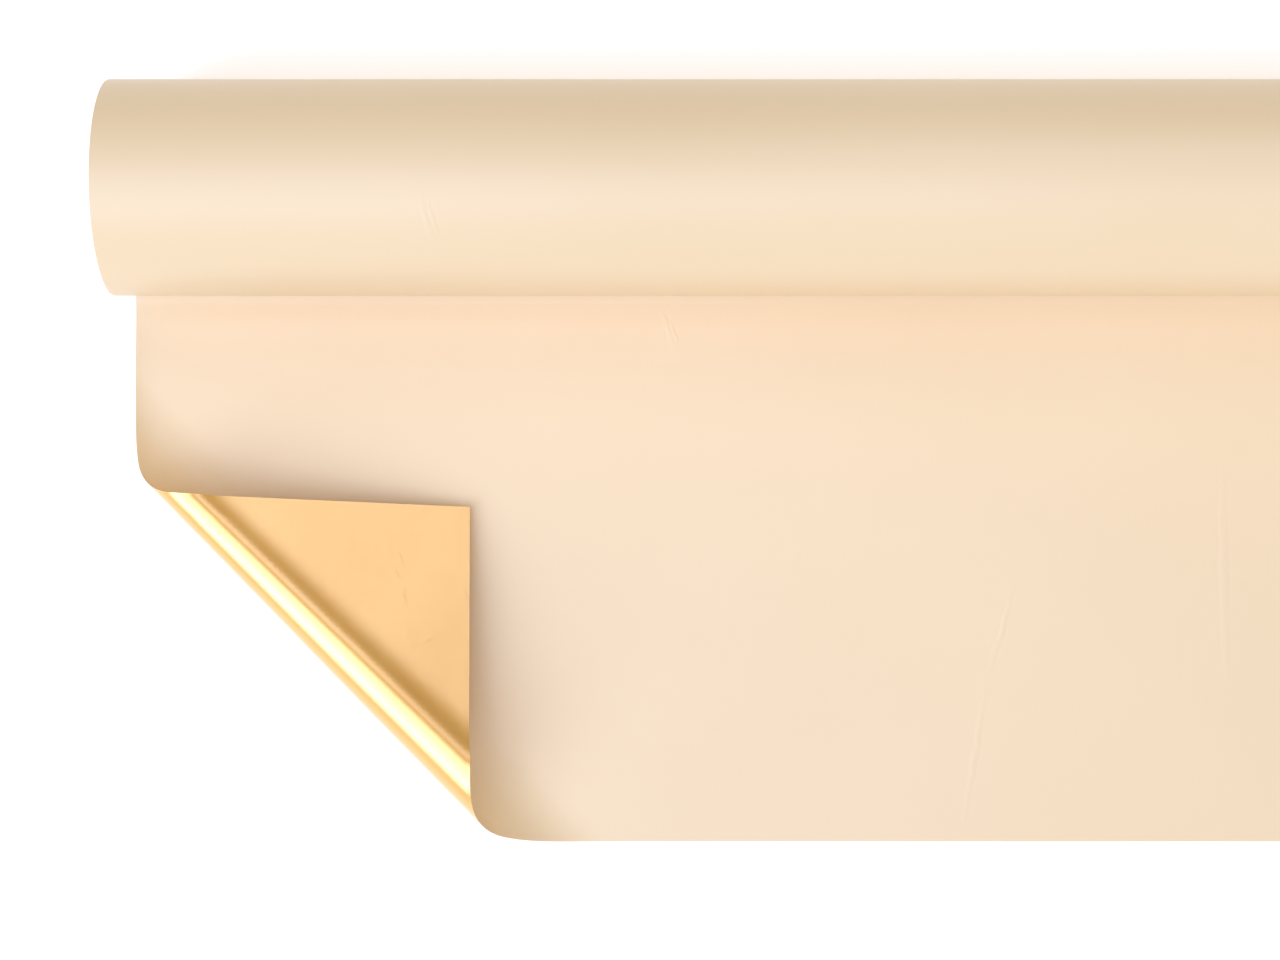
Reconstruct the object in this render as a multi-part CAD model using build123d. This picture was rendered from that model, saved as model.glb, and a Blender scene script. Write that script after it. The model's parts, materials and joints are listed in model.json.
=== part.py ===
from build123d import *
import os
from math import asin, cos, degrees, radians, sin, sqrt

# A roll of gift wrap on a card core, with its free end drawn out flat in front of it and one
# corner of that end turned over. Millimetres. The origin is the middle of the roll's axis,
# +X runs along the roll, -Y towards the sheet's free edge, +Z up. The whole thing lies on a
# table, whose top touches the lowest line of the roll.

# ---- driving dimensions -----------------------------------------------------------------
ROLL_WIDTH = 700.0          # length of the roll, and width of the paper
ROLL_R = 30.0               # about 25 m of paper 0.08 mm thick on the core
CORE_R = 16.2               # outside of the card tube
BORE_R = 14.0               # inside of the card tube
SHEET = 0.25                # thickness that a single layer of paper is modelled at
RUN_GAP = 0.3               # room between pieces that move past each other
FREE_EDGE_Y = -186.6        # the cut edge that has been pulled out
LEAD_BEND_R = 8.0           # cream-side radius where the paper turns from the roll on to the table
LEAD_RUN = 1.0              # flat run after that bend, before the free sheet takes over

TAPE_COUNT = 3              # pieces of tape that hold the paper's inner end to the core
TAPE_WIDTH = 19.0
TAPE_ARC = 50.0             # degrees of the core that each piece covers
TAPE_THICKNESS = 0.2
TAPE_PITCH = 260.0

CORNER_REACH = 97.2         # from the corner, square to the fold, to where the paper leaves the table
# The fold's side view: the radius of each bend, and the paper's slope in degrees at its end.
# Slopes count up from level on the table, through 180 where the paper is level upside down.
LIFT_R, LIFT_SLOPE = 30.0, 10.7     # first gentle rise
RISE_R, RISE_SLOPE = 19.0, 60.0     # the foot of the loop
SIDE_R, SIDE_SLOPE = 10.6, 110.0    # round the outermost line of the fold
TOP_R, TOP_SLOPE = 7.9, 180.0       # over the top
DROP_R, DROP_SLOPE = 8.5, 214.0     # where the turned-over paper starts down
LAND_R, FLAP_SLOPE = 32.0, 200.3    # where it eases off, and stays straight to its tip
STEP = 9.0                  # most degrees of bend between two sections of the fold

# ---- worked-out places ------------------------------------------------------------------
TABLE_Z = -ROLL_R
LEFT_X = -ROLL_WIDTH / 2
WOUND_R = ROLL_R - SHEET - RUN_GAP
LEAD_CENTRE_Z = TABLE_Z + LEAD_BEND_R + SHEET
LEAD_CENTRE_Y = -sqrt((ROLL_R + LEAD_BEND_R) ** 2 - LEAD_CENTRE_Z ** 2)
LEAD_END_Y = LEAD_CENTRE_Y - LEAD_RUN
SHEET_START_Y = LEAD_END_Y - RUN_GAP
SHEET_MID_Z = TABLE_Z + SHEET / 2

ALONG_FOLD = Vector(1, -1, 0) / sqrt(2)        # from the left edge to the free edge
TO_CORNER = Vector(-1, -1, 0) / sqrt(2)        # square to the fold, out towards the flat corner
UP = Vector(0, 0, 1)
FOLD_FOOT = Vector(LEFT_X, FREE_EDGE_Y, SHEET_MID_Z) - TO_CORNER * CORNER_REACH


def along_roll(section):
    """Extrude a section of the YZ plane over the whole width of the roll."""
    return extrude(Plane.YZ * section, ROLL_WIDTH / 2, both=True)


def ring(outer, inner):
    return Circle(outer) - Circle(inner)


def core_tube():
    """The plain card tube that the paper is wound on."""
    return along_roll(ring(CORE_R, BORE_R))


def start_tape():
    """Short pieces of tape over the paper's inner end, evenly spaced along the core."""
    half = TAPE_ARC / 2
    wedge_r = 2 * CORE_R
    corners = [(0, 0)]
    corners += [(wedge_r * cos(radians(a)), wedge_r * sin(radians(a))) for a in (90 - half, 90 + half)]
    wedge = make_face(Polyline(*corners, close=True))
    strip = ring(CORE_R + TAPE_THICKNESS, CORE_R) & wedge
    solid = extrude(Plane.YZ * strip, TAPE_WIDTH / 2, both=True)
    first = -(TAPE_COUNT - 1) / 2
    return Compound([Pos((first + i) * TAPE_PITCH, 0, 0) * solid for i in range(TAPE_COUNT)])


def wound_paper(tape):
    """The turns that stay on the core, as one ring of paper with room for the tape."""
    return along_roll(ring(WOUND_R, CORE_R)) - tape


def outer_turn():
    """The last turn of paper, and the bend that lays it on the table in front of the roll."""
    tangent_deg = degrees(asin(-LEAD_CENTRE_Z / (ROLL_R + LEAD_BEND_R)))
    bend_r = LEAD_BEND_R + SHEET / 2
    bend = CenterArc((LEAD_CENTRE_Y, LEAD_CENTRE_Z), bend_r, tangent_deg, -(tangent_deg + 90))
    run = Line((LEAD_CENTRE_Y, SHEET_MID_Z), (LEAD_END_Y, SHEET_MID_Z))
    lead = trace(bend, SHEET) + trace(run, SHEET)
    return along_roll(ring(ROLL_R, ROLL_R - SHEET) + lead)


def free_sheet():
    """The part of the sheet that lies flat, short of the folded corner."""
    cut = CORNER_REACH * sqrt(2)
    corners = [
        (LEFT_X, SHEET_START_Y),
        (-LEFT_X, SHEET_START_Y),
        (-LEFT_X, FREE_EDGE_Y),
        (LEFT_X + cut, FREE_EDGE_Y),
        (LEFT_X, FREE_EDGE_Y + cut),
    ]
    return extrude(Pos(0, 0, TABLE_Z) * make_face(Polyline(*corners, close=True)), SHEET)


def fold_stations():
    """Walk the fold's side view: arc length, distance out, height and heading at each section."""
    bends = [
        (LIFT_R, LIFT_SLOPE),
        (RISE_R, RISE_SLOPE),
        (SIDE_R, SIDE_SLOPE),
        (TOP_R, TOP_SLOPE),
        (DROP_R, DROP_SLOPE),
        (LAND_R, FLAP_SLOPE),
    ]
    length, out, height, heading = 0.0, 0.0, 0.0, 0.0
    stations = [(length, out, height, heading)]
    for radius, slope in bends:
        turn = radians(slope) - heading
        signed_r = radius if turn > 0 else -radius
        steps = int(abs(degrees(turn)) // STEP) + 1
        for _ in range(steps):
            after = heading + turn / steps
            out += signed_r * (sin(after) - sin(heading))
            height += signed_r * (cos(heading) - cos(after))
            length += radius * abs(after - heading)
            heading = after
            stations.append((length, out, height, heading))
    return stations


def fold_place(out, height, heading):
    """A point on the fold's centre line, with the way on along the paper there."""
    centre = FOLD_FOOT + TO_CORNER * out + UP * height
    ahead = TO_CORNER * cos(heading) + UP * sin(heading)
    return centre, ahead


def fold_section(length, out, height, heading):
    """Cross-section of the turned-over paper, which narrows towards the corner."""
    centre, ahead = fold_place(out, height, heading)
    plane = Plane(origin=centre, x_dir=ALONG_FOLD, z_dir=ahead)
    return plane * Rectangle(2 * (CORNER_REACH - length), SHEET)


def corner_curl():
    """The loose loop where the corner turns over."""
    return loft([fold_section(*station) for station in fold_stations()], ruled=True)


def corner_flap():
    """The turned-over corner itself, which slopes down to a tip just above the sheet."""
    length, out, height, heading = fold_stations()[-1]
    centre, ahead = fold_place(out, height, heading)
    reach = CORNER_REACH - length
    plane = Plane(origin=centre, x_dir=ALONG_FOLD, z_dir=ALONG_FOLD.cross(ahead))
    triangle = plane * make_face(Polyline((-reach, 0), (reach, 0), (0, reach), close=True))
    return extrude(triangle, SHEET / 2, both=True)


def main():
    tape = start_tape()
    parts = {
        "core_tube": core_tube(),
        "start_tape": tape,
        "wound_paper": wound_paper(tape),
        "outer_turn": outer_turn(),
        "free_sheet": free_sheet(),
        "corner_curl": corner_curl(),
        "corner_flap": corner_flap(),
    }
    os.makedirs("parts", exist_ok=True)
    for name, shape in parts.items():
        export_step(shape, f"parts/{name}.step")


main()
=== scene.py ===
import json
import math

import bpy
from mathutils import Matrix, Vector, noise


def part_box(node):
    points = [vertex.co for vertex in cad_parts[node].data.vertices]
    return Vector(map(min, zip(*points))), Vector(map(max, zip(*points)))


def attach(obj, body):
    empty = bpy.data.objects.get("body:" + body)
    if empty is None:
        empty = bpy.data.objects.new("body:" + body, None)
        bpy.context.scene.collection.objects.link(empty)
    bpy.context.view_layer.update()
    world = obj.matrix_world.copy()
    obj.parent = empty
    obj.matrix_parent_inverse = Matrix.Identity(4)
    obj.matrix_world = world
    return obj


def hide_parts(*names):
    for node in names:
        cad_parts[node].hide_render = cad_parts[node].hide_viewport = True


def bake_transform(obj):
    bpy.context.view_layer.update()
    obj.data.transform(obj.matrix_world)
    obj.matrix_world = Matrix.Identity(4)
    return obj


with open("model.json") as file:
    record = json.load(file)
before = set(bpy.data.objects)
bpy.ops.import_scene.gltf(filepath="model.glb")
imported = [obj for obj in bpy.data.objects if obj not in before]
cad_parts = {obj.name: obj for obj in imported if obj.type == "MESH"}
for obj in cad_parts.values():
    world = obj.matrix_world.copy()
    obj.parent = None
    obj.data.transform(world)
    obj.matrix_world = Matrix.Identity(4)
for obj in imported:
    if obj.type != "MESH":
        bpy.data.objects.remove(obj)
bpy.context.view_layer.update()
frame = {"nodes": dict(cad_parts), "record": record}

# A roll of two-sided gift wrap on a card core. Its free end lies drawn out in front of it, and
# one corner of that end is turned over. Everything is in metres, in the frame's own axes.

MM = 0.001

# ---- sizes from the frame ---------------------------------------------------------------
LEFT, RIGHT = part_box("core_tube")[0][0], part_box("core_tube")[1][0]
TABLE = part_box("outer_turn")[0][2]
ROLL_R = -TABLE
FREE_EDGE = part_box("free_sheet")[0][1]
MOUNTS = {mount["name"]: mount for mount in frame["record"]["mounts"]}
BORE_R = MOUNTS["core_bore"]["dims"]["r_mm"] * MM
CORE_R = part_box("core_tube")[1][2]

# ---- the web of paper -------------------------------------------------------------------
PAPER = 0.1 * MM                # thickness of a single layer
PAPER_MAP = "paper"             # UV map that holds a point's place in the flat paper, in metres
TURN_DROP = 0.12 * MM           # how much nearer the axis the last turn is at its inner end
TURN_OVERLAP = 25.0             # degrees that the last turn runs on under itself
LEAD_R = 8.0 * MM               # cream-side radius of the bend from the roll on to the table
LEAD_Z = TABLE + LEAD_R + PAPER
LEAD_Y = -math.sqrt((ROLL_R + LEAD_R) ** 2 - LEAD_Z ** 2)
LEAVE_DEG = 180.0 + math.degrees(math.atan2(-LEAD_Z, -LEAD_Y))
FLAT_LENGTH = LEAD_Y - FREE_EDGE  # of the drawn-out paper, from the bend's end to the free edge
FACE, BACK, CUT = 0, 1, 2       # the web's materials: cream face, gold back and cut edges

# ---- the turned-over corner -------------------------------------------------------------
ALONG_FOLD = Vector((1, -1)).normalized()
TO_CORNER = Vector((-1, -1)).normalized()
CORNER_REACH = 97.2 * MM
FOLD_FOOT = Vector((LEFT, FREE_EDGE)) - TO_CORNER * CORNER_REACH
FOLD_AT_EDGE = CORNER_REACH * math.sqrt(2)  # from the corner, along either edge, to the fold's start
# Each bend's radius, the paper's slope in degrees at its end, and how fast its radius grows along
# the fold towards the free edge, per metre.
FOLD_BENDS = [
    (30.0 * MM, 10.7, 0.5),
    (19.0 * MM, 60.0, 0.5),
    (10.6 * MM, 110.0, 0.5),
    (8.0 * MM, 180.0, 3.0),
    (6.8 * MM, 213.5, 3.0),
    (36.0 * MM, 200.3, 3.0),
]

# ---- unevenness -------------------------------------------------------------------------
# Each wave of the paper: its height, its length and its place in the noise.
LONG_WAVE = (0.22 * MM, 90 * MM, 3.7)
SHORT_WAVE = (0.05 * MM, 22 * MM, 8.1)
ROLL_WAVE = (0.06 * MM, 60 * MM, 5.5)
TABLE_FADE = 25 * MM            # the sheet's waves die out over this length before the roll's foot
ROLL_CALM = 20 * MM             # the paper past the sheet has no waves over this length,
ROLL_FADE = 40 * MM             # and the roll's wave grows over this one
EDGE_LIFT = 0.5 * MM            # how far the left cut edge stands off the table
LIFT_NONE = FOLD_AT_EDGE - 35 * MM  # distance from the free edge where that lift begins,
LIFT_FULL = FOLD_AT_EDGE - 12 * MM  # and where it is complete

# ---- handling marks ---------------------------------------------------------------------
# Each is a thin ridge: its two ends and half its width, in mm on the flat paper. The ends are
# measured from the left edge and from the free edge.
FACE_MARKS = [
    ((88.7, 235.0), (92.9, 219.5), 1.2),
    ((91.0, 233.0), (94.0, 222.0), 0.8),
    ((153.9, 157.0), (157.6, 143.5), 1.2),
    ((156.2, 153.0), (158.6, 145.0), 0.8),
    ((257.6, 79.0), (248.0, 46.0), 1.0),
    ((249.0, 50.0), (241.3, 3.0), 1.2),
    ((166.5, 31.0), (171.4, 34.0), 1.0),
    ((317.0, 117.0), (318.5, 41.0), 1.6),
    ((396.0, 96.0), (431.0, 108.0), 1.4),
    ((508.0, 20.0), (517.0, 66.0), 1.4),
    ((590.0, 61.0), (601.0, 83.0), 1.0),
]
BACK_MARKS = [
    ((10.7, 37.7), (14.8, 34.2), 0.8),
    ((17.1, 30.1), (24.4, 24.6), 1.2),
    ((13.6, 22.9), (20.0, 20.3), 0.7),
    ((18.8, 23.8), (24.1, 21.2), 0.7),
    ((24.0, 21.2), (31.4, 19.2), 0.8),
    ((8.0, 26.0), (19.0, 24.2), 1.6),
    ((38.3, 10.7), (41.0, 16.0), 1.0),
    ((48.7, 16.4), (52.2, 8.4), 1.6),
    ((23.6, 3.2), (29.8, 1.2), 1.0),
    ((5.0, 12.0), (17.0, 8.0), 2.0),
    ((33.0, 21.0), (44.0, 17.0), 1.8),
]

# ---- rings wound from a strip -----------------------------------------------------------
TURN_PITCH = 0.32 * MM          # of the turns that the roll's ends show, several layers to each
CARD_PLY = 0.55 * MM            # thickness of each ply of the core
RING_SEGMENTS = 144
TURN_VARIETY = 2.3              # how far apart neighbouring turns lie in the noise
END_VARIETY = 9.0               # and the two ends of a ring

# ---- mesh spacing -----------------------------------------------------------------------
TURN_STEP_DEG = 4.5             # of the rows round the roll
BEND_STEP_DEG = 7.0             # of the rows round the bend at its foot
ROW_STEP = 2.5 * MM             # of the rows from there to the fold
FINE_STEP = 1.5 * MM            # of the rows and columns that the fold crosses
EDGE_STEP = 1.0 * MM            # of the columns along the left edge
PLAIN_STEP = 4.4 * MM           # of the columns right of the fold
EDGE_BAND = 6.0 * MM            # width of the strip along the left edge that lifts
FOLD_BAND = 150.0 * MM          # distance from the left edge to the plain columns
SHARP_DEG = 60.0                # an edge bent by more than this isn't shaded smooth

# ---- light, floor and camera ------------------------------------------------------------
LAMP_WHITE = (0.91, 1.06, 1.54)  # a cool white, which the warm paper brings back to cream
LAMP_DISTANCE = 4.0
LAMP_TARGET = Vector((LEFT + 150 * MM, FREE_EDGE + 105 * MM, TABLE))
# Each lamp's name, its azimuth, elevation and width in degrees as seen from the target, and how
# bright it alone makes a level white surface there, 1 being white.
LAMPS = [
    ("softbox", 222, 75, 50, 0.40),
    ("front_softbox", 222, 54, 34, 0.06),
    ("key", 217, 37, 32, 0.14),
    ("low_front", 222, 22, 44, 0.03),
    ("back_softbox", 62, 55, 24, 0.055),
    ("right_fill", 345, 38, 40, 0.06),
]
ROOM_WHITE = (1.0, 0.84, 0.56)  # the warm light that the paper and its room pass round
ROOM_STRENGTH = 0.37
FLOOR_HALF = 12.0
FLOOR_GAP = 0.1 * MM            # between the paper and the floor
LENS = 66.8                     # focal length, in mm
SENSOR = 36.0                   # width, in mm
CAMERA_PLACE = (LEFT + 146.7 * MM, -81.4 * MM, 661.7 * MM)


def spaced(start, stop, step):
    """Evenly spaced values from start up to, but not including, stop."""
    count = max(1, math.ceil(abs(stop - start) / step))
    return [start + (stop - start) * i / count for i in range(count)]


def smooth(low, high, value):
    """0 below low, 1 above high, and an even S between them."""
    t = min(1.0, max(0.0, (value - low) / (high - low)))
    return t * t * (3 - 2 * t)


def fold_profile(length, along):
    """How far out and how high the folded paper is, at a length across it and a place along the fold."""
    out, height, heading = 0.0, 0.0, 0.0
    for middle_radius, slope, flare in FOLD_BENDS:
        turn = math.radians(slope) - heading
        radius = middle_radius * (1 + flare * along)
        arc = radius * abs(turn)
        part = min(1.0, length / arc)
        signed_r = math.copysign(radius, turn)
        after = heading + turn * part
        out += signed_r * (math.sin(after) - math.sin(heading))
        height += signed_r * (math.cos(heading) - math.cos(after))
        heading = after
        length -= arc * part
        if length <= 0:
            return out, height
    return out + length * math.cos(heading), height + length * math.sin(heading)


def sheet_place(x, y):
    """Where a point of the drawn-out sheet lies, from its place when the sheet is spread flat."""
    from_foot = Vector((x, y)) - FOLD_FOOT
    along, beyond = from_foot.dot(ALONG_FOLD), from_foot.dot(TO_CORNER)
    height = 0.0
    if beyond > 0:
        beyond, height = fold_profile(beyond, along)
    spot = FOLD_FOOT + ALONG_FOLD * along + TO_CORNER * beyond
    return Vector((spot.x, spot.y, TABLE + PAPER / 2 + height))


def row_at(y, z):
    """A straight row of the web: it turns x into a point."""
    return lambda x: Vector((x, y, z))


def web_rows():
    """The web's rows, from its inner end out: each one's distance from the free edge, and its points."""
    rows = []
    bend_r = LEAD_R + PAPER / 2
    bend_start, bend_end = LEAVE_DEG - 180.0, -90.0
    bend_length = bend_r * math.radians(bend_start - bend_end)
    for angle in spaced(LEAVE_DEG - 360.0 - TURN_OVERLAP, LEAVE_DEG, TURN_STEP_DEG):
        back = LEAVE_DEG - angle
        radius = ROLL_R - PAPER / 2 - TURN_DROP * back / 360.0
        y, z = radius * math.cos(math.radians(angle)), radius * math.sin(math.radians(angle))
        rows.append((FLAT_LENGTH + bend_length + math.radians(back) * ROLL_R, row_at(y, z)))
    for angle in spaced(bend_start, bend_end, BEND_STEP_DEG):
        y = LEAD_Y + bend_r * math.cos(math.radians(angle))
        z = LEAD_Z + bend_r * math.sin(math.radians(angle))
        rows.append((FLAT_LENGTH + bend_r * math.radians(angle - bend_end), row_at(y, z)))
    fold_starts = FREE_EDGE + FOLD_AT_EDGE
    flat_rows = spaced(LEAD_Y, fold_starts, ROW_STEP) + spaced(fold_starts, FREE_EDGE, FINE_STEP)
    for y in flat_rows + [FREE_EDGE]:
        rows.append((y - FREE_EDGE, lambda x, y=y: sheet_place(x, y)))
    return rows


def web_columns():
    """The x of each column of the web, closest together along the left edge and across the fold."""
    edge = spaced(LEFT, LEFT + EDGE_BAND, EDGE_STEP)
    fold = spaced(LEFT + EDGE_BAND, LEFT + FOLD_BAND, FINE_STEP)
    plain = spaced(LEFT + FOLD_BAND, RIGHT, PLAIN_STEP)
    return edge + fold + plain + [RIGHT]


def wave_at(x, along, wave, base):
    """An uneven wave over the flat paper, its height times noise from -1 to 1 on a base of 0 or 1."""
    height, length, seed = wave
    return height * (base + noise.noise(Vector((x / length, along / length, seed))))


def relief(x, along):
    """How far the paper stands off its smooth shape, from its handling."""
    on_table = smooth(0.0, TABLE_FADE, FLAT_LENGTH - along)
    offset = wave_at(x, along, LONG_WAVE, 1) * on_table
    offset += wave_at(x, along, SHORT_WAVE, 1) * on_table
    from_edge = (x - LEFT) / EDGE_BAND
    if from_edge < 1:
        unfolded = smooth(LIFT_NONE, LIFT_FULL, along)
        offset += EDGE_LIFT * (1 - from_edge) ** 2 * on_table * unfolded
    on_roll = smooth(0.0, ROLL_FADE, along - FLAT_LENGTH - ROLL_CALM)
    offset += wave_at(x, along, ROLL_WAVE, 0) * on_roll
    return offset


def facing(grid, r, c):
    """The direction that the paper's face looks at a grid point."""
    rows, columns = len(grid), len(grid[0])
    down = grid[min(r + 1, rows - 1)][c] - grid[max(r - 1, 0)][c]
    across = grid[r][min(c + 1, columns - 1)] - grid[r][max(c - 1, 0)]
    return down.cross(across).normalized()


def web_grids():
    """The paper's face and back as grids of points, and each point's place in the flat paper."""
    rows, columns = web_rows(), web_columns()
    smooth_grid = [[place(x) for x in columns] for _, place in rows]
    face, back, flat = [], [], []
    for r, (along, _) in enumerate(rows):
        face.append([])
        back.append([])
        flat.append([])
        for c, x in enumerate(columns):
            normal = facing(smooth_grid, r, c)
            middle = smooth_grid[r][c] + normal * relief(x, along)
            face[-1].append(middle + normal * PAPER / 2)
            back[-1].append(middle - normal * PAPER / 2)
            flat[-1].append((x, along))
    return face, back, flat


def sheet_faces(rows, columns):
    """The faces of a closed thin sheet, whose back's points follow its face's, and their materials."""
    second = rows * columns

    def at(r, c):
        return r * columns + c

    faces, slots = [], []
    for r in range(rows - 1):
        for c in range(columns - 1):
            quad = (at(r, c), at(r + 1, c), at(r + 1, c + 1), at(r, c + 1))
            faces += [quad, tuple(i + second for i in reversed(quad))]
            slots += [FACE, BACK]
    rim = [at(r, 0) for r in range(rows)]
    rim += [at(rows - 1, c) for c in range(1, columns)]
    rim += [at(r, columns - 1) for r in range(rows - 2, -1, -1)]
    rim += [at(0, c) for c in range(columns - 2, 0, -1)]
    for i, a in enumerate(rim):
        b = rim[(i + 1) % len(rim)]
        faces.append((a, a + second, b + second, b))
        slots.append(CUT)
    return faces, slots


def sheet_mesh(name, face, back, flat):
    """A closed thin mesh from the grids of its face and back, with the flat paper as its UV map."""
    points = [p for row in face for p in row] + [p for row in back for p in row]
    places = [p for row in flat for p in row] * 2
    faces, slots = sheet_faces(len(face), len(face[0]))
    mesh = bpy.data.meshes.new(name)
    mesh.from_pydata(points, [], faces)
    mesh.polygons.foreach_set("material_index", slots)
    mesh.polygons.foreach_set("use_smooth", [slot != CUT for slot in slots])
    layer = mesh.uv_layers.new(name=PAPER_MAP)
    for loop in mesh.loops:
        layer.data[loop.index].uv = places[loop.vertex_index]
    mesh.update()
    mesh.set_sharp_from_angle(angle=math.radians(SHARP_DEG))
    return mesh


def add_piece(name, mesh, *materials):
    """A new object with the mesh, and with the materials in its slots."""
    piece = bpy.data.objects.new(name, mesh)
    bpy.context.collection.objects.link(piece)
    for material in materials:
        mesh.materials.append(material)
    return piece


# ---- rings ------------------------------------------------------------------------------
def ring_points(inner, outer, turns, inset, depth, seed):
    """The points of a ring's two ends, and their places in that list by end, segment and turn."""
    pitch = (outer - inner) / turns
    points, index = [], {}
    for side, end_x in enumerate((LEFT, RIGHT)):
        inward = 1 if side == 0 else -1
        for j in range(RING_SEGMENTS):
            lap = j / RING_SEGMENTS
            angle = 2 * math.pi * lap
            radii = [inner] + [inner + (k + lap) * pitch for k in range(turns)] + [outer]
            for k, radius in enumerate(radii):
                spot = Vector(((k + lap) * TURN_VARIETY, seed, side * END_VARIETY))
                level = 0.5 + 0.5 * noise.noise(spot)
                x = end_x + inward * (inset + depth * level)
                index[side, j, k] = len(points)
                points.append((x, radius * math.cos(angle), radius * math.sin(angle)))
    return points, index


def ring_end_faces(index, side, last):
    """One end's faces. Where a lap closes, each turn runs on into the next one."""
    faces = []
    for j in range(RING_SEGMENTS):
        wraps = j == RING_SEGMENTS - 1
        nxt = 0 if wraps else j + 1
        for k in range(last):
            a, b = index[side, j, k], index[side, j, k + 1]
            if not wraps:
                quad = [a, b, index[side, nxt, k + 1], index[side, nxt, k]]
            elif k == 0:
                quad = [a, b, index[side, nxt, 2], index[side, nxt, 1], index[side, nxt, 0]]
            elif k < last - 1:
                quad = [a, b, index[side, nxt, k + 2], index[side, nxt, k + 1]]
            else:
                quad = [a, b, index[side, nxt, last]]
            faces.append(quad[::-1] if side == 0 else quad)
    return faces


def ring_wall_faces(index, last):
    """The faces of the bore and of the outside, from one end to the other."""
    faces = []
    for j in range(RING_SEGMENTS):
        nxt = (j + 1) % RING_SEGMENTS
        for k, flip in ((0, False), (last, True)):
            quad = [index[0, j, k], index[1, j, k], index[1, nxt, k], index[0, nxt, k]]
            faces.append(quad[::-1] if flip else quad)
    return faces


def wound_ring(name, inner, outer, pitch, inset, depth, seed):
    """A ring whose two ends, uneven by depth, show the spiral of the strip it is wound from."""
    turns = round((outer - inner) / pitch)
    points, index = ring_points(inner, outer, turns, inset, depth, seed)
    last = turns + 1
    faces = ring_end_faces(index, 0, last) + ring_end_faces(index, 1, last)
    faces += ring_wall_faces(index, last)
    mesh = bpy.data.meshes.new(name)
    mesh.from_pydata(points, [], faces)
    mesh.update()
    return mesh


# ---- materials --------------------------------------------------------------------------
def new_material(name):
    """A new material, with its nodes, its links and its shader."""
    material = bpy.data.materials.new(name)
    material.use_nodes = True
    nodes = material.node_tree.nodes
    return material, nodes, material.node_tree.links, nodes["Principled BSDF"]


def set_inputs(node, **values):
    """Sets a node's own inputs by name, with an underscore for each space."""
    for key, value in values.items():
        node.inputs[key.replace("_", " ")].default_value = value


def noise_node(nodes, links, vector, scale, detail=2.0, stretch=None):
    """A noise texture over a vector output, stretched along some axes if asked."""
    if stretch:
        mapping = nodes.new("ShaderNodeMapping")
        mapping.inputs["Scale"].default_value = stretch
        links.new(vector, mapping.inputs["Vector"])
        vector = mapping.outputs["Vector"]
    texture = nodes.new("ShaderNodeTexNoise")
    texture.inputs["Scale"].default_value = scale
    texture.inputs["Detail"].default_value = detail
    links.new(vector, texture.inputs["Vector"])
    return texture.outputs["Fac"]


def ramp_node(nodes, links, value, stops):
    """A colour from a value, by stops of a position and a colour."""
    ramp = nodes.new("ShaderNodeValToRGB")
    elements = ramp.color_ramp.elements
    while len(elements) < len(stops):
        elements.new(0.5)
    for element, (place, colour) in zip(elements, stops):
        element.position = place
        element.color = (*colour, 1)
    links.new(value, ramp.inputs["Fac"])
    return ramp.outputs["Color"]


def range_node(nodes, links, value, low, high):
    """A value from 0 to 1, brought to between low and high."""
    remap = nodes.new("ShaderNodeMapRange")
    remap.inputs["To Min"].default_value = low
    remap.inputs["To Max"].default_value = high
    links.new(value, remap.inputs["Value"])
    return remap.outputs["Result"]


def math_node(nodes, links, operation, first, second=0.0):
    """The operation on two inputs, each a plain number or another node's output."""
    node = nodes.new("ShaderNodeMath")
    node.operation = operation
    for socket, value in zip(node.inputs, (first, second)):
        if isinstance(value, float):
            socket.default_value = value
        else:
            links.new(value, socket)
    return node.outputs["Value"]


def bump_node(nodes, links, height, distance, below=None):
    """Relief of a height times a distance in metres, on top of the relief below it."""
    bump = nodes.new("ShaderNodeBump")
    bump.inputs["Distance"].default_value = distance
    bump.inputs["Strength"].default_value = 1.0
    links.new(height, bump.inputs["Height"])
    if below:
        links.new(below, bump.inputs["Normal"])
    return bump.outputs["Normal"]


def paper_place(nodes):
    """The flat paper's own coordinates, so that its pattern bends with it."""
    uv = nodes.new("ShaderNodeUVMap")
    uv.uv_map = PAPER_MAP
    return uv.outputs["UV"]


def object_place(nodes):
    """The frame's own coordinates, because no piece is moved."""
    return nodes.new("ShaderNodeTexCoord").outputs["Object"]


def wavering(nodes, links, place):
    """The same coordinates, pushed along each axis by 0 to 2 mm, so that no mark is quite straight."""
    wander = nodes.new("ShaderNodeTexNoise")
    wander.inputs["Scale"].default_value = 160.0
    links.new(place, wander.inputs["Vector"])
    push = nodes.new("ShaderNodeVectorMath")
    push.operation = "MULTIPLY_ADD"
    push.inputs[1].default_value = (2 * MM, 2 * MM, 0)
    links.new(wander.outputs["Color"], push.inputs[0])
    links.new(place, push.inputs[2])
    return push.outputs["Vector"]


def mark_height(nodes, links, place, marks):
    """Ridges, 1 high in their middle, that fade out towards their ends and sides."""
    place = wavering(nodes, links, place)
    height = None
    for start, end, half_width in marks:
        start, end = Vector(start) * MM, Vector(end) * MM
        middle, run = (start + end) / 2, end - start
        own_axes = nodes.new("ShaderNodeMapping")
        own_axes.vector_type = "TEXTURE"
        own_axes.inputs["Location"].default_value = (LEFT + middle.x, middle.y, 0)
        own_axes.inputs["Rotation"].default_value = (0, 0, math.atan2(run.y, run.x))
        own_axes.inputs["Scale"].default_value = (run.length / 2, half_width * MM, 1)
        links.new(place, own_axes.inputs["Vector"])
        ridge = nodes.new("ShaderNodeTexGradient")
        ridge.gradient_type = "SPHERICAL"
        links.new(own_axes.outputs["Vector"], ridge.inputs["Vector"])
        fade = ridge.outputs["Fac"]
        height = math_node(nodes, links, "MAXIMUM", height, fade) if height else fade
    return height


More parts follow.
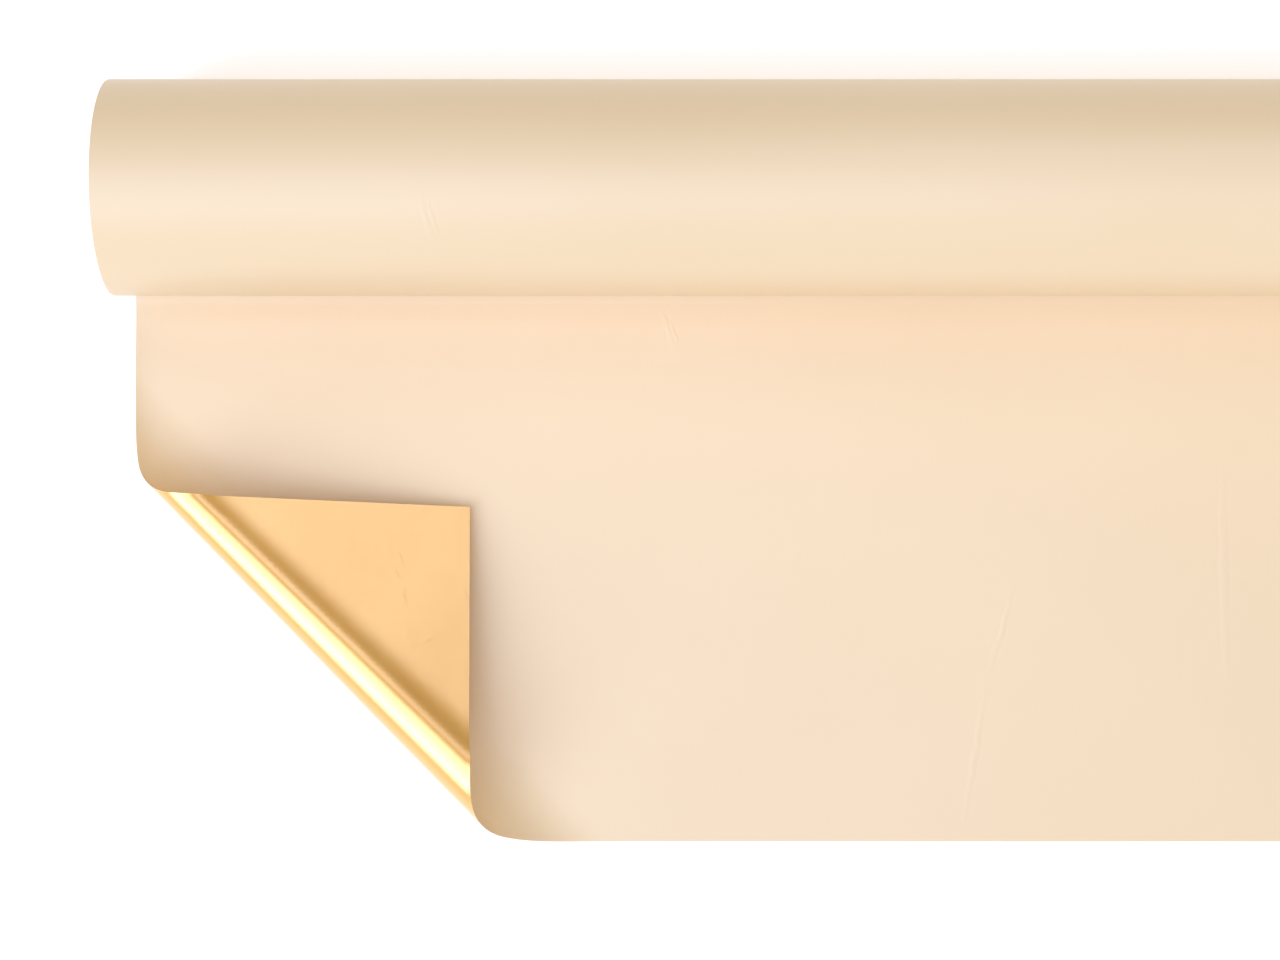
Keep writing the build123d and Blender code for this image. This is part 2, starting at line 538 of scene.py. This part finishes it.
def paper_relief(nodes, links, place, grain_depth, cockle_depth, marks, mark_depth):
    """Bump for a coated paper: fibre grain on faint cockling and handling marks."""
    grain = noise_node(nodes, links, place, scale=1400.0, detail=3.0)
    cockling = noise_node(nodes, links, place, scale=70.0)
    handled = bump_node(nodes, links, mark_height(nodes, links, place, marks), mark_depth)
    cockled = bump_node(nodes, links, cockling, cockle_depth, below=handled)
    return bump_node(nodes, links, grain, grain_depth, below=cockled)


def cream_face():
    """The paper's face: cream, with a soft satin coating."""
    material, nodes, links, shader = new_material("cream_satin_face")
    place = paper_place(nodes)
    cloud = noise_node(nodes, links, place, scale=9.0, detail=3.0)
    colour = ramp_node(nodes, links, cloud, [(0.3, (0.92, 0.71, 0.42)), (0.7, (0.94, 0.73, 0.44))])
    links.new(colour, shader.inputs["Base Color"])
    fleck = noise_node(nodes, links, place, scale=260.0)
    links.new(range_node(nodes, links, fleck, 0.36, 0.48), shader.inputs["Roughness"])
    normal = paper_relief(nodes, links, place, grain_depth=0.004 * MM, cockle_depth=0.05 * MM,
                          marks=FACE_MARKS, mark_depth=0.10 * MM)
    links.new(normal, shader.inputs["Normal"])
    set_inputs(shader, IOR=1.46, Coat_Weight=0.2, Coat_Roughness=0.35)
    return material


def gold_back():
    """The paper's back: a rough gold print under a glossier coat."""
    material, nodes, links, shader = new_material("gold_satin_back")
    place = paper_place(nodes)
    cloud = noise_node(nodes, links, place, scale=40.0, detail=3.0)
    colour = ramp_node(nodes, links, cloud, [(0.3, (0.94, 0.49, 0.06)), (0.7, (0.98, 0.53, 0.08))])
    links.new(colour, shader.inputs["Base Color"])
    fleck = noise_node(nodes, links, place, scale=500.0)
    links.new(range_node(nodes, links, fleck, 0.33, 0.39), shader.inputs["Roughness"])
    normal = paper_relief(nodes, links, place, grain_depth=0.004 * MM, cockle_depth=0.08 * MM,
                          marks=BACK_MARKS, mark_depth=0.045 * MM)
    links.new(normal, shader.inputs["Normal"])
    set_inputs(shader, Metallic=1.0, Coat_Weight=1.0, Coat_IOR=2.15, Coat_Roughness=0.27)
    return material


def paper_edge():
    """The web's cut edges: bare fibre."""
    material, nodes, links, shader = new_material("cut_paper_edge")
    cloud = noise_node(nodes, links, object_place(nodes), scale=900.0)
    colour = ramp_node(nodes, links, cloud, [(0.3, (0.80, 0.66, 0.46)), (0.7, (0.90, 0.78, 0.60))])
    links.new(colour, shader.inputs["Base Color"])
    set_inputs(shader, Roughness=0.7)
    return material


def spiral_turns(nodes, links, pitch):
    """Counts the turns of a spiral wound about the X axis, and rises evenly across each one."""

    def calc(operation, first, second=0.0):
        return math_node(nodes, links, operation, first, second)

    split = nodes.new("ShaderNodeSeparateXYZ")
    links.new(object_place(nodes), split.inputs["Vector"])
    y, z = split.outputs["Y"], split.outputs["Z"]
    squares = calc("ADD", calc("MULTIPLY", y, y), calc("MULTIPLY", z, z))
    turns = calc("DIVIDE", calc("SQRT", squares), pitch)
    lap = calc("DIVIDE", calc("ARCTAN2", z, y), 2 * math.pi)
    return calc("SUBTRACT", turns, lap)


def layered_paper():
    """The cut ends of the wound turns: cream, gold and painted shadow in turn, under bands of painted
    shade that is deeper where they are wound looser.
    """
    material, nodes, links, shader = new_material("wound_layers")
    turns = spiral_turns(nodes, links, TURN_PITCH)
    layers = math_node(nodes, links, "FRACT", turns)
    # The dark stops at each turn's two ends are painted shadow in the gaps between the turns.
    stops = [(0.0, (0.34, 0.24, 0.13)), (0.14, (0.74, 0.58, 0.38)), (0.5, (0.86, 0.72, 0.52)),
             (0.8, (0.80, 0.58, 0.28)), (1.0, (0.40, 0.28, 0.15))]
    # Painted shade: a noise along the turns darkens some bands of them and lightens others, as looser
    # and tighter winding would.
    winding_shade = nodes.new("ShaderNodeTexNoise")
    winding_shade.noise_dimensions = "1D"
    winding_shade.inputs["Scale"].default_value = 0.45
    links.new(turns, winding_shade.inputs["W"])
    tint = nodes.new("ShaderNodeVectorMath")
    tint.operation = "MULTIPLY"
    links.new(ramp_node(nodes, links, layers, stops), tint.inputs[0])
    band_shade = [(0.35, (0.70, 0.60, 0.46)), (0.5, (1.0, 0.98, 0.94)), (0.65, (0.88, 0.76, 0.56))]
    links.new(ramp_node(nodes, links, winding_shade.outputs["Fac"], band_shade), tint.inputs[1])
    links.new(tint.outputs["Vector"], shader.inputs["Base Color"])
    links.new(bump_node(nodes, links, layers, 0.04 * MM), shader.inputs["Normal"])
    set_inputs(shader, Roughness=0.6)
    return material


def core_card():
    """Grey-brown card, with flecks drawn out along the tube."""
    material, nodes, links, shader = new_material("core_card")
    place = object_place(nodes)
    fleck = noise_node(nodes, links, place, scale=600.0, detail=4.0, stretch=(0.35, 1, 1))
    colour = ramp_node(nodes, links, fleck, [(0.25, (0.25, 0.16, 0.09)), (0.5, (0.40, 0.28, 0.17)),
                                             (0.8, (0.52, 0.39, 0.26))])
    links.new(colour, shader.inputs["Base Color"])
    links.new(bump_node(nodes, links, fleck, 0.05 * MM), shader.inputs["Normal"])
    set_inputs(shader, Roughness=0.88)
    return material


def clear_tape():
    """Matt, hazy tape."""
    material, nodes, links, shader = new_material("matt_tape")
    haze = noise_node(nodes, links, object_place(nodes), scale=800.0)
    colour = ramp_node(nodes, links, haze, [(0.2, (0.72, 0.70, 0.62)), (0.8, (0.82, 0.80, 0.74))])
    links.new(colour, shader.inputs["Base Color"])
    set_inputs(shader, Roughness=0.35)
    return material


# ---- floor, light and camera ------------------------------------------------------------
def stage_floor():
    """A plain pale floor, which glows a little so that it is white."""
    mesh = bpy.data.meshes.new("floor")
    half, z = FLOOR_HALF, TABLE - FLOOR_GAP
    corners = [(-half, -half, z), (half, -half, z), (half, half, z), (-half, half, z)]
    mesh.from_pydata(corners, [], [(0, 1, 2, 3)])
    material, _, _, shader = new_material("floor")
    set_inputs(shader, Base_Color=(0.92, 0.90, 0.84, 1), Roughness=0.9,
               Emission_Color=(1.0, 1.0, 1.0, 1), Emission_Strength=0.32)
    floor = add_piece("floor", mesh, material)


def soft_disc(name, azimuth, elevation, width, share):
    """A round soft light, aimed at a point near the folded corner, as LAMPS says."""
    around, up = math.radians(azimuth), math.radians(elevation)
    aim = Vector((math.cos(up) * math.cos(around), math.cos(up) * math.sin(around), math.sin(up)))
    light = bpy.data.lights.new(name, "AREA")
    light.shape = "DISK"
    light.size = 2 * LAMP_DISTANCE * math.tan(math.radians(width / 2))
    light.energy = share * math.pi ** 2 * LAMP_DISTANCE ** 2 / aim.z
    light.color = LAMP_WHITE
    lamp = bpy.data.objects.new(name, light)
    bpy.context.collection.objects.link(lamp)
    lamp.location = LAMP_TARGET + aim * LAMP_DISTANCE
    lamp.rotation_euler = (-aim).to_track_quat("-Z", "Y").to_euler()


def studio_light():
    """Soft lamps overhead, at the front left, behind and on the right, in an evenly lit warm room."""
    for lamp in LAMPS:
        soft_disc(*lamp)
    world = bpy.data.worlds.new("room")
    world.use_nodes = True
    backdrop = world.node_tree.nodes["Background"]
    backdrop.inputs["Color"].default_value = (*ROOM_WHITE, 1)
    backdrop.inputs["Strength"].default_value = ROOM_STRENGTH
    bpy.context.scene.world = world


def look_camera():
    """Looks straight down on the left part of the roll."""
    data = bpy.data.cameras.new("camera")
    data.sensor_width = SENSOR
    data.lens = LENS
    camera = bpy.data.objects.new("camera", data)
    bpy.context.collection.objects.link(camera)
    camera.location = CAMERA_PLACE
    bpy.context.scene.camera = camera


# ---- the pieces -------------------------------------------------------------------------
def add_web():
    """The last turn, the drawn-out sheet and its turned-over corner, as one piece of paper."""
    face, back, flat = web_grids()
    mesh = sheet_mesh("paper_web", face, back, flat)
    web = add_piece("paper_web", mesh, cream_face(), gold_back(), paper_edge())
    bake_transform(web)
    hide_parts("outer_turn", "free_sheet", "corner_curl", "corner_flap")
    return web, flat


def add_wound_turns():
    """The turns between the core and the last turn."""
    mesh = wound_ring("wound_turns", CORE_R, ROLL_R - TURN_PITCH, TURN_PITCH,
                      inset=0.05 * MM, depth=0.45 * MM, seed=2.0)
    turns = add_piece("wound_turns", mesh, layered_paper())
    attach(turns, "roll")
    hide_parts("wound_paper")


def add_core():
    """The card tube, wound from plies."""
    mesh = wound_ring("card_core", BORE_R, CORE_R, CARD_PLY,
                      inset=0.1 * MM, depth=0.15 * MM, seed=6.0)
    core = add_piece("card_core", mesh, core_card())
    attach(core, "roll")
    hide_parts("core_tube")


def dress_tape():
    """The tape keeps its own shape and gets a better material."""
    tape = frame["nodes"]["start_tape"]
    tape.data.materials.clear()
    tape.data.materials.append(clear_tape())


def main():
    bpy.context.scene.view_settings.view_transform = "Standard"
    look_camera()
    studio_light()
    stage_floor()
    web, flat = add_web()
    add_wound_turns()
    add_core()
    dress_tape()


main()
